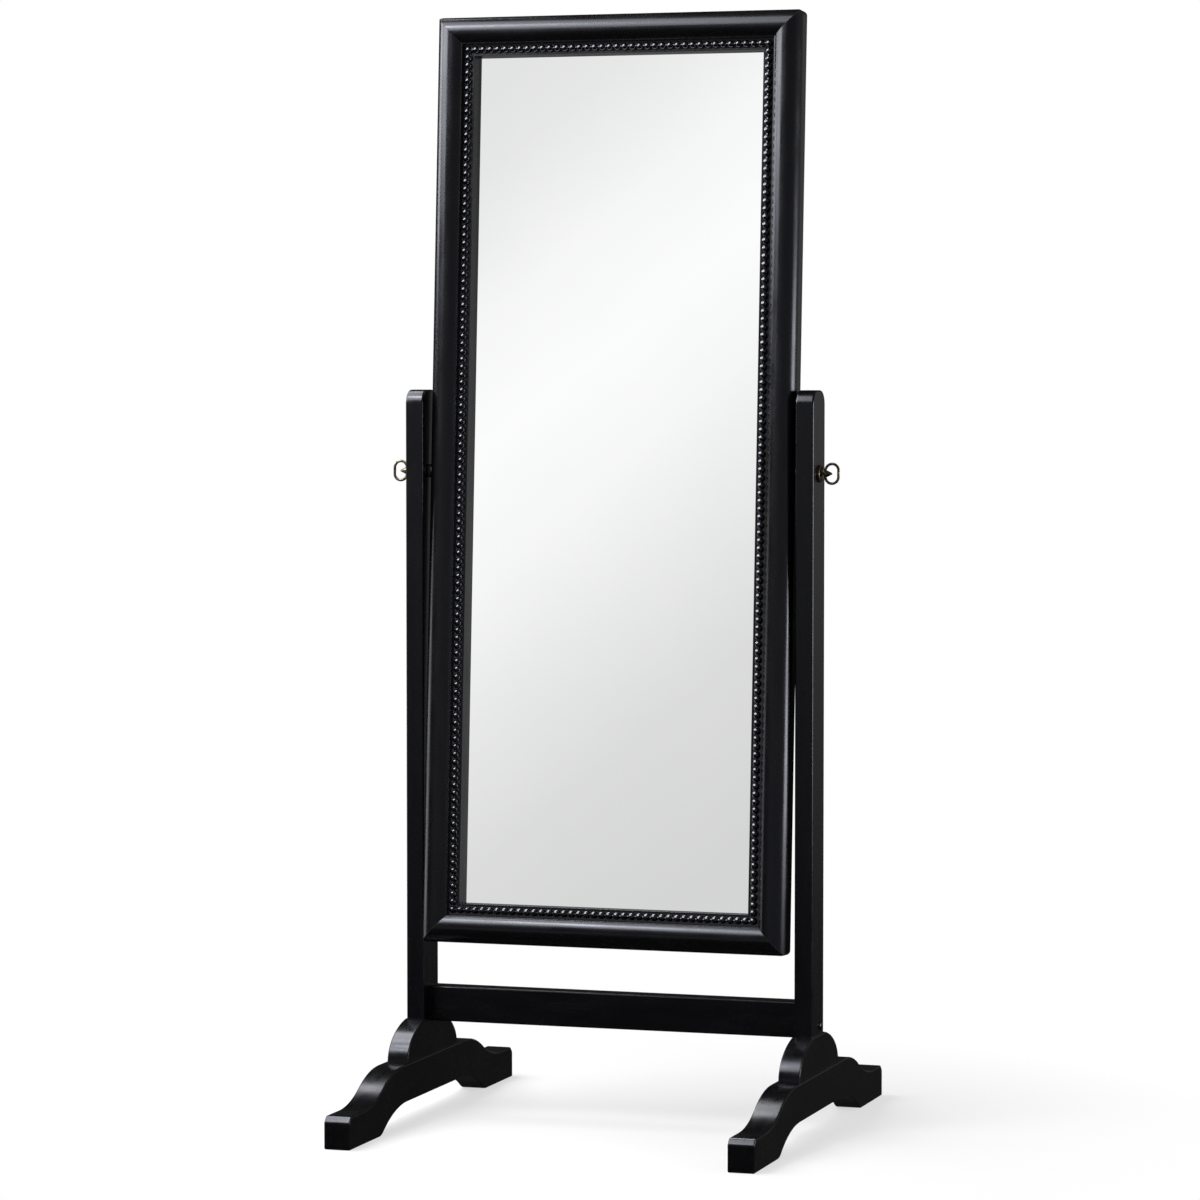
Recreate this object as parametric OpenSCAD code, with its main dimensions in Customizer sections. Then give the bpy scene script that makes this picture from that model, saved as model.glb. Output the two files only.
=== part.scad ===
// Cheval mirror: a tall mirror in a beaded frame, hung between two posts on arched feet.
// Millimetres. +Z is up, the mirror faces -Y, and the origin is on the floor between the feet.

/* [Posts] */
// Width over the outer faces of the two posts
stand_w = 540; // [480:1:620]
// Thickness of a post, across the stand
post_t = 23.5; // [20:0.5:30]
// Depth of a post, front to back
post_d = 55; // [46:1:66]
// Height of the posts' tops above the floor
post_top_z = 932; // [880:1:1000]
// Radius of the two rounded corners on a post's top
post_top_r = 18; // [8:0.5:22]
// Radius on the long edges of posts and stretcher
edge_r = 2.5; // [1:0.25:4]

/* [Feet] */
// Length of a foot, front to back
foot_l = 612; // [560:1:680]
// Width of a foot
foot_w = 34; // [28:0.5:40]
// Height of a foot's level top
foot_h = 77; // [70:1:90]
// Half the length of a foot's level top
foot_top_half = 118; // [100:1:125]
// Height of a toe
toe_h = 41; // [36:0.5:46]
// Length of a toe's level top
toe_l = 48; // [40:1:56]
// Chamfer on the end of a toe
toe_chamfer = 7; // [3:0.5:10]
// Length of each pad that stands on the floor
pad_l = 105; // [90:1:120]
// Height of the arch between the pads
arch_h = 29; // [22:0.5:34]
// Half the length of the arch's level part
arch_half = 100; // [80:1:110]
// Share of the arch's side that curves down, before it turns out to the pad
arch_share = 0.87; // [0.5:0.01:0.95]

/* [Foot blocks] */
// Length of the domed block on a foot
block_l = 186; // [160:1:200]
// Thickness of the block, across the stand
block_t = 28; // [24:0.5:32]
// Height that the dome's curve would reach with no post on it
dome_h = 49; // [42:0.5:54]
// Thickness of the tenon under a post
tenon_t = 12; // [8:0.5:14]
// Depth of the tenon, front to back
tenon_d = 47; // [42:1:52]
// Length of the tenon
tenon_l = 34; // [26:1:35]
// Diameter of the pin through block and tenon
pin_d = 5; // [4:0.5:6]
// Distance of the pin behind the post's middle
pin_y = 17; // [14:0.5:18]
// Depth that the pin lies below the block's top
pin_drop = 19; // [13:0.5:21]

/* [Stretcher] */
// Height of the stretcher
stretcher_h = 45.5; // [40:0.5:60]
// Depth that the stretcher's lower edge lies below the blocks' tops
stretcher_drop = 5; // [3:0.5:8]
// Thickness of the stretcher
stretcher_t = 27; // [22:0.5:32]
// Distance of the stretcher's middle behind the posts' middle
stretcher_y = 10; // [4:0.5:12]

/* [Stand hardware] */
// Diameter of the bolts, screws and thumb screws
bolt_d = 6; // [5:0.5:6.5]
// Diameter of a stretcher bolt's head
bolt_head_d = 10; // [9:0.5:14]
// Height of a stretcher bolt's head
bolt_head_h = 3; // [2:0.25:4]
// Width of the head's flat top, as a share of the head
bolt_head_top = 0.7; // [0.5:0.05:0.9]
// Height of the bolt above the stretcher's lower edge
bolt_up = 14.5; // [12:0.5:16]
// Distance of the barrel nut from the stretcher's end
nut_in = 30; // [22:1:40]
// Diameter of the barrel nut
nut_d = 10; // [9:0.5:12]
// Length of the barrel nut
nut_l = 16; // [12:0.5:18]
// Diameter of the wooden dowel above the bolt
dowel_d = 8; // [6:0.5:9]
// Length of that dowel in the post
dowel_in_post = 12; // [8:1:16]
// Length of that dowel in the stretcher
dowel_in_rail = 24; // [16:1:30]
// Height of the dowel above the bolt
dowel_up = 18; // [15:0.5:20]
// Distance of the foot screws from the post's middle
foot_screw_y = 55; // [46:1:60]
// Length of a foot screw in the block
foot_screw_bite = 22; // [14:1:26]
// Diameter of a foot screw's head
foot_screw_head_d = 12; // [10:0.5:14]
// Height of a foot screw's head
foot_screw_head_h = 4; // [3:0.5:5]
// Depth of the recess for that head
foot_screw_recess = 6; // [5:0.5:10]

/* [Pivot] */
// Height of the tilting axis above the floor
pivot_z = 828; // [780:1:860]
// Angle that the mirror's top leans back
lean = 3.4; // [0:0.1:8]
// Gap between the mirror frame and each post
side_gap = 5; // [4:0.25:7]
// Thickness of the bush's flange
flange_t = 1.6; // [1:0.1:2]
// Diameter of the bush's flange
flange_d = 16; // [13:0.5:17]
// Diameter of the bush's barrel
bush_d = 10; // [9:0.5:12]
// Length of the bush in the stile
bush_l = 14; // [12:0.5:18]
// Diameter of the friction washer
washer_d = 17; // [14:0.5:20]

/* [Thumb screws] */
// Length of the thread in the bush
thread_in_bush = 12; // [8:0.5:12]
// Diameter of the rosette on the post's outer face
rosette_d = 22; // [18:0.5:28]
// Height of the rosette's raised rim
rosette_t = 3; // [2.4:0.1:4]
// Thickness of the rosette inside its rim
rosette_dish = 1.2; // [0.8:0.1:1.6]
// Height of the straight edge under the rosette's round rim
rosette_edge = 0.8; // [0.4:0.1:1]
// Width of the slopes between the dish, its rim and its seat
dish_slope = 0.4; // [0.2:0.1:0.6]
// Diameter of the screw's collar
collar_d = 8.5; // [8:0.25:10]
// Height of the collar
collar_h = 1.8; // [1.2:0.1:2.5]
// Chamfer on the collar, and distance from its edge to the seat's edge
collar_edge = 0.5; // [0.2:0.1:0.8]
// Diameter of the stem behind the ring
stem_d = 4.6; // [4:0.1:5.5]
// Height of the ring
ring_h = 28; // [25:0.5:34]
// Width of the ring, along the screw
ring_w = 20; // [19:0.5:24]
// Thickness of the ring's wire
ring_wire = 3.4; // [2.6:0.1:4]
// Distance of the ring's middle from the post
ring_out = 16.5; // [16:0.5:22]
// Diameter of the cone that the ring grows from
finial_d = 10.6; // [8:0.2:12]
// Length of the cone, from its shoulder to its point
finial_l = 10.5; // [8:0.5:12]
// Rounding of the cone's shoulder
finial_round = 0.8; // [0.4:0.1:1.2]
// Diameter of the cone's blunt point
finial_tip_d = 2; // [1:0.25:3]

/* [Mirror frame] */
// Height of the mirror frame
frame_h = 1182; // [1120:1:1200]
// Height of the tilting axis above the frame's middle
pivot_rise = 11.5; // [0:0.5:30]
// Depth of the frame's flat outer side
side_h = 18.5; // [17:0.5:20]
// Width of the half round
torus_w = 33.5; // [30:0.5:38]
// Height of the half round's crown above the frame's back
crown_h = 34.5; // [32.5:0.5:37]
// Height of the ridge inside the half round
ridge_h = 28; // [26.5:0.5:30]
// Width of the ridge
ridge_w = 1.5; // [1:0.25:3]
// Width of the channel that holds the beads
channel_w = 12.2; // [10.4:0.1:14]
// Height of the channel's floor above the frame's back
channel_h = 18.8; // [16:0.2:19.4]
// Width of the flat edge between the channel and the inner wall
land_w = 2.7; // [0.6:0.1:4]
// Width of the sloping inner wall
wall_w = 0.6; // [0.4:0.1:3]
// Height of the square lip at the sight edge
lip_h = 1; // [0.5:0.1:2]
// Width of the rebate behind the sight edge
rebate_w = 10.5; // [7:0.5:12]
// Radius on the frame's outer corners
corner_r = 7; // [3:0.5:12]
// Diameter of the dowels in the mitres
mitre_dowel_d = 6; // [4:0.5:7]
// Place of the dowels across the solid part of the moulding, from its outer side
mitre_dowel_share = 0.6; // [0.5:0.05:0.7]
// Length of the dowels in the mitres
mitre_dowel_l = 24; // [16:1:28]

/* [Beads] */
// Diameter of a bead
bead_d = 9.4; // [8:0.1:9.4]
// Distance of the beads from the channel's inner wall
bead_side = 0.3; // [0.2:0.1:1]
// Height of the neck under a bead
bead_neck = 0.2; // [0.1:0.1:1]
// Distance from bead to bead, evened out over each side
bead_pitch = 9.85; // [9.8:0.05:12]
// Thickness of the strip that carries the beads
strip_t = 3.2; // [2.4:0.1:4]

/* [Glass and back] */
// Thickness of the mirror glass
glass_t = 3; // [3:0.5:4]
// Thickness of the packing card
card_t = 1; // [0.5:0.25:1.5]
// Thickness of the backing board
board_t = 3; // [2.5:0.5:4]
// Depth of the board's face inside the frame's back
board_recess = 1; // [0.8:0.1:2]
// Length of a flat point that holds the board
point_l = 12; // [8:0.5:14]
// Width of a flat point
point_w = 6; // [4:0.5:10]
// Thickness of a flat point
point_t = 0.6; // [0.4:0.1:0.7]
// Points along each stile
points_per_stile = 5; // [3:1:7]
// Points along each rail
points_per_rail = 2; // [2:1:4]

/* [Fits] */
// Gap round a glued or screwed fit
fit_gap = 0.05; // [0.05:0.01:0.1]
// Gap round a bolt in a clearance hole
hole_gap = 0.3; // [0.2:0.05:0.5]
// Gap between pieces that turn on each other's faces
face_gap = 0.1; // [0.05:0.05:0.3]
// Gap round the glass and board in the rebate
glass_gap = 1; // [0.5:0.25:2]
// Spare depth at the end of a blind hole
end_gap = 1; // [0.5:0.25:2]

/* [Hidden] */
$fn = 64;
arc_steps = 14;
eps = 0.5;

// Stand heights and places
post_x = stand_w / 2 - post_t / 2;
inner_x = stand_w / 2 - post_t;
block_h = dome_h * sqrt(1 - pow(post_d / block_l, 2));
block_top_z = foot_h + block_h;
stretcher_z0 = block_top_z - stretcher_drop;
bolt_z = stretcher_z0 + bolt_up;
dowel_z = bolt_z + dowel_up;
pin_z = block_top_z - pin_drop;
screw_seat_z = arch_h + foot_screw_recess;

// Mirror frame, measured inwards from its outer edge and forwards from its back
frame_w = stand_w - 2 * post_t - 2 * side_gap;
channel_u = torus_w + ridge_w;
channel_end_u = channel_u + channel_w;
sight_u = channel_end_u + land_w + wall_w;
rebate_u = sight_u - rebate_w;
rebate_d = glass_t + card_t + board_t + board_recess;
back_y = side_h / 2;
bead_u = channel_end_u - bead_side - bead_d / 2;
bead_v = channel_h + bead_neck + bead_d / 2;
strip_top = channel_h + strip_t;
glass_w = frame_w - 2 * rebate_u - 2 * glass_gap;
glass_h = frame_h - 2 * rebate_u - 2 * glass_gap;
washer_t = side_gap - flange_t - 2 * face_gap;
mitre_dowel_u = rebate_u * mitre_dowel_share;

// Thumb screw, measured outwards from the post's outer face
rim_round = (rosette_t - rosette_edge) / 2;
rosette_seat = rosette_t - rim_round;
collar_z0 = face_gap + rosette_seat + face_gap;
ring_line = (ring_w - ring_wire) / 2;
finial_z0 = ring_out - ring_line - ring_wire / 2;

black = [0.07, 0.07, 0.08];
brass = [0.42, 0.36, 0.25];
steel = [0.55, 0.55, 0.57];
beech = [0.76, 0.62, 0.45];

// Points of two arcs that leave p level and reach q level, joined share of the way
function s_curve(p, q, share) =
    let (
        run = q[0] - p[0],
        rise = q[1] - p[1],
        turn = 2 * atan(abs(rise / run)),
        way = sign(run),
        up = sign(rise),
        r1 = share * abs(run) / sin(turn),
        r2 = (1 - share) * abs(run) / sin(turn)
    )
    concat(
        [for (i = [0:arc_steps]) let (a = turn * i / arc_steps)
            [p[0] + way * r1 * sin(a), p[1] + up * r1 * (1 - cos(a))]],
        [for (i = [arc_steps - 1:-1:0]) let (a = turn * i / arc_steps)
            [q[0] - way * r2 * sin(a), q[1] - up * r2 * (1 - cos(a))]]
    );

// Points of an arc about c, from angle a to angle b
function arc(c, r, a, b) = [
    for (i = [0:arc_steps]) let (t = a + (b - a) * i / arc_steps) c + r * [cos(t), sin(t)]
];

// Outline of a rectangle w by d with its corners rounded to r
function rounded_rect(w, d, r) = concat(
    arc([w / 2 - r, d / 2 - r], r, 0, 90),
    arc([r - w / 2, d / 2 - r], r, 90, 180),
    arc([r - w / 2, r - d / 2], r, 180, 270),
    arc([w / 2 - r, r - d / 2], r, 270, 360)
);

// Outline and its mirror image across the first axis, joined into one
function both_ways(half) = concat(
    half,
    [for (i = [len(half) - 1:-1:0]) [-half[i][0], half[i][1]]]
);

// Turns a flat outline drawn in Y and Z into a slab centred on X
module slab(outline, thickness) {
    rotate([90, 0, 90])
        linear_extrude(height = thickness, center = true)
            polygon(outline);
}

// A round bar along X, from x0 to x1
module bar_x(d, x0, x1) {
    translate([min(x0, x1), 0, 0])
        rotate([0, 90, 0])
            cylinder(d = d, h = abs(x1 - x0));
}

// Copies a piece of the stand to its left side, as a mirror image
module on_side(side) {
    mirror([side == "left" ? 1 : 0, 0, 0])
        children();
}

// Post with rounded top and edges, a tenon below, and its three bores
module post(side) {
    shaft_l = post_top_z - block_top_z;
    top_outline = both_ways(concat(
        arc([post_d / 2 - post_top_r, post_top_z - post_top_r], post_top_r, 90, 0),
        [[post_d / 2, block_top_z]]
    ));
    color(black)
        on_side(side)
            difference() {
                translate([post_x, 0, 0])
                    union() {
                        intersection() {
                            slab(top_outline, post_t + 2 * eps);
                            translate([0, 0, block_top_z])
                                linear_extrude(height = shaft_l + eps)
                                    polygon(rounded_rect(post_t, post_d, edge_r));
                        }
                        translate([-tenon_t / 2, -tenon_d / 2, block_top_z - tenon_l])
                            cube([tenon_t, tenon_d, tenon_l + eps]);
                    }
                translate([0, 0, pivot_z])
                    bar_x(bolt_d + 2 * hole_gap, inner_x - eps, stand_w / 2 + eps);
                translate([0, stretcher_y, bolt_z])
                    bar_x(bolt_d + 2 * hole_gap, inner_x - eps, stand_w / 2 + eps);
                translate([0, stretcher_y, dowel_z])
                    bar_x(dowel_d + 2 * fit_gap, inner_x - eps, inner_x + dowel_in_post + end_gap);
                translate([0, pin_y, pin_z])
                    bar_x(pin_d + 2 * fit_gap, inner_x - eps, stand_w / 2 + eps);
            }
}

// Half of a foot's side view: arch, pad, chamfered toe, and the reverse curve up to the level top
function foot_half() = concat(
    s_curve([arch_half, arch_h], [foot_l / 2 - pad_l, 0], arch_share),
    [
        [foot_l / 2, 0],
        [foot_l / 2, toe_h - toe_chamfer],
        [foot_l / 2 - toe_chamfer, toe_h]
    ],
    s_curve([foot_l / 2 - toe_l, toe_h], [foot_top_half, foot_h], 0.5)
);

// Foot sawn to that outline, bored from below for two screws
module foot(side) {
    color(black)
        on_side(side)
            translate([post_x, 0, 0])
                difference() {
                    slab(both_ways(foot_half()), foot_w);
                    for (s = [-1, 1])
                        translate([0, s * foot_screw_y, arch_h - eps]) {
                            cylinder(d = bolt_d + 2 * hole_gap, h = foot_h - arch_h + 2 * eps);
                            cylinder(d = foot_screw_head_d + 2 * hole_gap, h = foot_screw_recess + eps);
                        }
                }
}

// Domed block between foot and post: mortise, housing for the stretcher's end, pin and screw holes
module foot_block(side) {
    cut = asin(block_h / dome_h);
    dome = [for (i = [0:arc_steps]) let (t = cut * i / arc_steps)
        [block_l / 2 * cos(t), foot_h + dome_h * sin(t)]];
    mortise_t = tenon_t + 2 * fit_gap;
    mortise_d = tenon_d + 2 * fit_gap;
    housing_d = (block_t - post_t) / 2 + fit_gap;
    color(black)
        on_side(side)
            translate([post_x, 0, 0])
                difference() {
                    slab(both_ways(dome), block_t);
                    translate([-mortise_t / 2, -mortise_d / 2, block_top_z - tenon_l - end_gap])
                        cube([mortise_t, mortise_d, tenon_l + end_gap + eps]);
                    translate([
                        -block_t / 2 - eps,
                        stretcher_y - stretcher_t / 2 - fit_gap,
                        stretcher_z0 - fit_gap
                    ])
                        cube([housing_d + eps, stretcher_t + 2 * fit_gap, stretcher_drop + fit_gap + eps]);
                    translate([0, pin_y, pin_z])
                        bar_x(pin_d + 2 * fit_gap, -block_t / 2 - eps, block_t / 2 + eps);
                    for (s = [-1, 1])
                        translate([0, s * foot_screw_y, foot_h - eps])
                            cylinder(d = bolt_d + 2 * fit_gap, h = foot_screw_bite + end_gap + eps);
                }
}

// Stretcher between the posts, bored at both ends for bolt and dowel, and behind for the nuts
module stretcher() {
    nut_hole_l = stretcher_t / 2 + nut_l / 2 + fit_gap;
    color(black)
        difference() {
            translate([0, stretcher_y, stretcher_z0 + stretcher_h / 2])
                slab(rounded_rect(stretcher_t, stretcher_h, edge_r), 2 * inner_x);
            for (s = [-1, 1]) {
                translate([0, stretcher_y, bolt_z])
                    bar_x(bolt_d + 2 * hole_gap, s * (inner_x - nut_in - nut_d), s * (inner_x + eps));
                translate([0, stretcher_y, dowel_z])
                    bar_x(dowel_d + 2 * fit_gap, s * (inner_x - dowel_in_rail - end_gap), s * (inner_x + eps));
                translate([s * (inner_x - nut_in), stretcher_y - nut_l / 2 - fit_gap, bolt_z])
                    rotate([-90, 0, 0])
                        cylinder(d = nut_d + 2 * fit_gap, h = nut_hole_l + eps);
            }
        }
}

// Bolts through the posts into the barrel nuts, with low domed heads
module stretcher_bolts() {
    color(black)
        for (s = [-1, 1])
            translate([0, stretcher_y, bolt_z]) {
                bar_x(bolt_d, s * (inner_x - nut_in - nut_d / 2), s * (stand_w / 2 + eps));
                translate([s * stand_w / 2, 0, 0])
                    rotate([0, s * 90, 0])
                        cylinder(d1 = bolt_head_d, d2 = bolt_head_d * bolt_head_top, h = bolt_head_h);
            }
}

// Steel barrel nuts, cross bored for the bolts
module barrel_nuts() {
    color(steel)
        for (s = [-1, 1])
            translate([s * (inner_x - nut_in), stretcher_y, bolt_z])
                difference() {
                    rotate([90, 0, 0])
                        cylinder(d = nut_d, h = nut_l, center = true);
                    bar_x(bolt_d + 2 * fit_gap, -nut_d, nut_d);
                }
}

// Wooden dowels above the bolts, half in the post and half in the stretcher
module stretcher_dowels() {
    color(beech)
        for (s = [-1, 1])
            translate([0, stretcher_y, dowel_z])
                bar_x(dowel_d, s * (inner_x - dowel_in_rail), s * (inner_x + dowel_in_post));
}

// Pins through the blocks and tenons, sunk a little below both faces
module tenon_pins() {
    color(black)
        for (s = [-1, 1])
            translate([s * post_x, pin_y, pin_z])
                bar_x(pin_d, eps - block_t / 2, block_t / 2 - eps);
}

// Screws from the arch up through the feet into the blocks
module foot_screws() {
    color(steel)
        for (side = [-1, 1], s = [-1, 1])
            translate([side * post_x, s * foot_screw_y, screw_seat_z]) {
                cylinder(d = bolt_d, h = foot_h + foot_screw_bite - screw_seat_z);
                translate([0, 0, -foot_screw_head_h])
                    cylinder(d = foot_screw_head_d, h = foot_screw_head_h);
            }
}

// Puts the mirror's pieces on the tilting axis, leaning back
module hung() {
    translate([0, 0, pivot_z])
        rotate([-lean, 0, 0])
            children();
}

// Places a frame member drawn with X along it, Y inwards from its outer edge and Z forwards
module member_place(turn, half) {
    hung()
        translate([0, back_y, -pivot_rise])
            rotate([0, turn, 0])
                translate([0, 0, -half])
                    rotate([90, 0, 0])
                        children();
}

// Middle, over the moulding's width, and radius of the half round's arc
torus_drop = crown_h - side_h;
ridge_drop = crown_h - ridge_h;
torus_c = (torus_drop * torus_w - sqrt(torus_drop * ridge_drop * (pow(torus_w, 2) + pow(torus_drop - ridge_drop, 2))))
    / (torus_drop - ridge_drop);
torus_r = (pow(torus_c, 2) + pow(torus_drop, 2)) / (2 * torus_drop);
torus_v = crown_h - torus_r;

// Moulding section: half round, ridge, bead channel, sloping inner wall, lip and rebate
moulding = concat(
    arc(
        [torus_c, torus_v], torus_r,
        180 - atan((side_h - torus_v) / torus_c), atan2(ridge_h - torus_v, torus_w - torus_c)
    ),
    [
        [channel_u, ridge_h],
        [channel_u, channel_h],
        [channel_end_u, channel_h],
        [channel_end_u, strip_top],
        [channel_end_u + land_w, strip_top],
        [sight_u, rebate_d + lip_h],
        [sight_u, rebate_d],
        [rebate_u, rebate_d],
        [rebate_u, 0],
        [0, 0]
    ]
);

// Face view of a mitred member, with its share of the frame's rounded corners
function mitred(length, depth) = both_ways(concat(
    arc([length / 2 - corner_r, corner_r], corner_r, -90, -45),
    [[length / 2 - depth, depth]]
));

// Keeps what lies between the two mitres
module between_mitres(length) {
    intersection() {
        children();
        translate([0, 0, -eps])
            linear_extrude(height = crown_h + 2 * eps)
                polygon(mitred(length, sight_u + eps));
    }
}

// Middles of n points spread evenly along a member
function point_places(length, n) = [for (i = [0:n - 1]) length * ((i + 0.5) / n - 0.5)];

// Flat point half in the rebate's wall, or the slot for it when grown by a gap
module flat_point(x, gap) {
    translate([
        x - point_w / 2 - gap,
        rebate_u - point_l / 2 - gap,
        board_recess - point_t - gap
    ])
        cube([point_w + 2 * gap, point_l + 2 * gap, point_t + 2 * gap]);
}

// Dowel across the mitre at one end of a member
module mitre_dowel(length, end, spare, gap) {
    translate([end * (length / 2 - mitre_dowel_u), mitre_dowel_u, channel_h / 2])
        rotate([0, 90, end * 135])
            translate([0, 0, -mitre_dowel_l / 2 - spare])
                cylinder(d = mitre_dowel_d + 2 * gap, h = mitre_dowel_l + 2 * spare);
}

// Mitred length of moulding with its dowel holes and slots
module frame_member(length, points) {
    difference() {
        between_mitres(length)
            slab(moulding, length);
        for (end = [-1, 1])
            mitre_dowel(length, end, end_gap, fit_gap);
        for (x = point_places(length, points))
            flat_point(x, fit_gap);
    }
}

module rail(turn) {
    color(black)
        member_place(turn, frame_h / 2)
            frame_member(frame_w, points_per_rail);
}

// Stile, bored in its outer side for the pivot bush
module stile(side) {
    s = side == "left" ? -1 : 1;
    color(black)
        difference() {
            member_place(s * -90, frame_w / 2)
                frame_member(frame_h, points_per_stile);
            hung()
                bar_x(bush_d + 2 * fit_gap, s * (frame_w / 2 - bush_l - end_gap), s * (frame_w / 2 + eps));
        }
}

// Half of a bead, which ends flat at a mitre
module half_bead() {
    rotate_extrude(angle = 180)
        intersection() {
            circle(d = bead_d);
            translate([0, -bead_d])
                square([bead_d, 2 * bead_d]);
        }
}

// Strip of turned beads for one side of the frame, mitred through its corner beads
module bead_strip(turn, half, length) {
    row = length - 2 * bead_u;
    count = round(row / bead_pitch);
    pitch = row / count;
    near_u = channel_u + face_gap;
    far_u = channel_end_u - face_gap;
    strip = both_ways([[length / 2 - near_u, near_u], [length / 2 - far_u, far_u]]);
    color(black)
        member_place(turn, half)
            union() {
                translate([0, 0, channel_h])
                    linear_extrude(height = strip_t)
                        polygon(strip);
                for (i = [1:count - 1])
                    translate([i * pitch - row / 2, bead_u, bead_v])
                        sphere(d = bead_d);
                for (s = [-1, 1])
                    translate([s * row / 2, bead_u, bead_v])
                        rotate([0, 0, 180 - s * 45])
                            half_bead();
            }
}

// Sheet that lies in the rebate, from depth v0 to v0 + t
module rebate_sheet(v0, t, w, h) {
    hung()
        translate([-w / 2, back_y - v0 - t, -pivot_rise - h / 2])
            cube([w, t, h]);
}

module mirror_glass() {
    color([0.8, 0.84, 0.86])
        rebate_sheet(rebate_d - glass_t, glass_t, glass_w, glass_h);
}

module packing_card() {
    color([0.6, 0.55, 0.45])
        rebate_sheet(board_recess + board_t, card_t, glass_w - 2 * glass_gap, glass_h - 2 * glass_gap);
}

module backing_board() {
    color([0.25, 0.2, 0.16])
        rebate_sheet(board_recess, board_t, glass_w, glass_h);
}

// Flat steel points round the rebate, half driven in and half over the board
module back_points() {
    color(steel) {
        for (turn = [0, 180])
            member_place(turn, frame_h / 2)
                for (x = point_places(frame_w, points_per_rail))
                    flat_point(x, 0);
        for (turn = [90, -90])
            member_place(turn, frame_w / 2)
                for (x = point_places(frame_h, points_per_stile))
                    flat_point(x, 0);
    }
}

// Dowels that hold the four mitres
module corner_dowels() {
    color(beech)
        for (turn = [0, 180], end = [-1, 1])
            member_place(turn, frame_h / 2)
                mitre_dowel(frame_w, end, 0, 0);
}

// Puts a turned piece on the tilting axis, its foot at distance x and its head outwards
module on_axis(side, x) {
    s = side == "left" ? -1 : 1;
    hung()
        translate([s * x, 0, 0])
            rotate([0, s * 90, 0])
                children();
}

// Threaded bush in the stile, with a flange against its side
module pivot_bush(side) {
    color(steel)
        on_axis(side, frame_w / 2)
            difference() {
                union() {
                    cylinder(d = flange_d, h = flange_t);
                    translate([0, 0, -bush_l])
                        cylinder(d = bush_d, h = bush_l + eps);
                }
                translate([0, 0, -bush_l - eps])
                    cylinder(d = bolt_d + 2 * fit_gap, h = bush_l + flange_t + 2 * eps);
            }
}

// Fibre washer that rubs between the bush and the post
module friction_washer(side) {
    color([0.3, 0.25, 0.2])
        on_axis(side, frame_w / 2 + flange_t + face_gap)
            difference() {
                cylinder(d = washer_d, h = washer_t);
                translate([0, 0, -eps])
                    cylinder(d = bolt_d + 2 * hole_gap, h = washer_t + 2 * eps);
            }
}

// Dished rosette under the thumb screw's collar, with a round rim and a raised seat
module rosette(side) {
    rim_r = rosette_d / 2;
    hole_r = bolt_d / 2 + hole_gap;
    seat_r = collar_d / 2 + collar_edge;
    rim = arc([rim_r - rim_round, rosette_t - rim_round], rim_round, 0, 180);
    color(brass)
        on_axis(side, stand_w / 2 + face_gap)
            rotate_extrude()
                polygon(concat(
                    [[hole_r, 0], [rim_r, 0]],
                    rim,
                    [
                        [rim_r - 2 * rim_round - dish_slope, rosette_dish],
                        [seat_r + dish_slope, rosette_dish],
                        [seat_r, rosette_seat],
                        [hole_r, rosette_seat]
                    ]
                ));
}

// Oval ring of round wire: two half rings joined by straight lengths
module ring() {
    straight = ring_h - ring_w;
    for (s = [0, 1])
        mirror([s, 0, 0])
            translate([straight / 2, 0, ring_out])
                rotate([90, 0, 0])
                    rotate([0, 0, -90])
                        rotate_extrude(angle = 180)
                            translate([ring_line, 0])
                                circle(d = ring_wire);
    for (s = [-1, 1])
        translate([0, 0, ring_out + s * ring_line])
            rotate([0, 90, 0])
                cylinder(d = ring_wire, h = straight, center = true);
}

// Thumb screw: threaded shank, collar, stem, oval ring and pointed finial
module thumb_screw(side) {
    shank_l = post_t + side_gap + thread_in_bush;
    stem_z0 = collar_z0 + collar_h;
    color(brass)
        on_axis(side, stand_w / 2)
            union() {
                rotate_extrude()
                    polygon([
                        [0, -shank_l],
                        [bolt_d / 2, -shank_l],
                        [bolt_d / 2, collar_z0],
                        [collar_d / 2, collar_z0],
                        [collar_d / 2, stem_z0 - collar_edge],
                        [collar_d / 2 - collar_edge, stem_z0],
                        [stem_d / 2, stem_z0],
                        [stem_d / 2, finial_z0],
                        [finial_d / 2 - finial_round, finial_z0 + finial_round / 2],
                        [finial_d / 2, finial_z0 + 1.5 * finial_round],
                        [finial_d / 2 - finial_round / 2, finial_z0 + 3 * finial_round],
                        [finial_tip_d / 2, finial_z0 + finial_l - finial_tip_d / 2],
                        [0, finial_z0 + finial_l]
                    ]);
                ring();
            }
}

post("left");  // post_left
post("right");  // post_right
foot("left");  // foot_left
foot("right");  // foot_right
foot_block("left");  // foot_block_left
foot_block("right");  // foot_block_right
stretcher();
stretcher_bolts();
barrel_nuts();
stretcher_dowels();
tenon_pins();
foot_screws();
rail(180);  // top_rail
rail(0);  // bottom_rail
stile("left");  // left_stile
stile("right");  // right_stile
bead_strip(180, frame_h / 2, frame_w);  // bead_strip_top
bead_strip(0, frame_h / 2, frame_w);  // bead_strip_bottom
bead_strip(90, frame_w / 2, frame_h);  // bead_strip_left
bead_strip(-90, frame_w / 2, frame_h);  // bead_strip_right
mirror_glass();
packing_card();
backing_board();
back_points();
corner_dowels();
pivot_bush("left");  // pivot_bush_left
pivot_bush("right");  // pivot_bush_right
friction_washer("left");  // friction_washer_left
friction_washer("right");  // friction_washer_right
rosette("left");  // rosette_left
rosette("right");  // rosette_right
thumb_screw("left");  // thumb_screw_left
thumb_screw("right");  // thumb_screw_right
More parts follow.
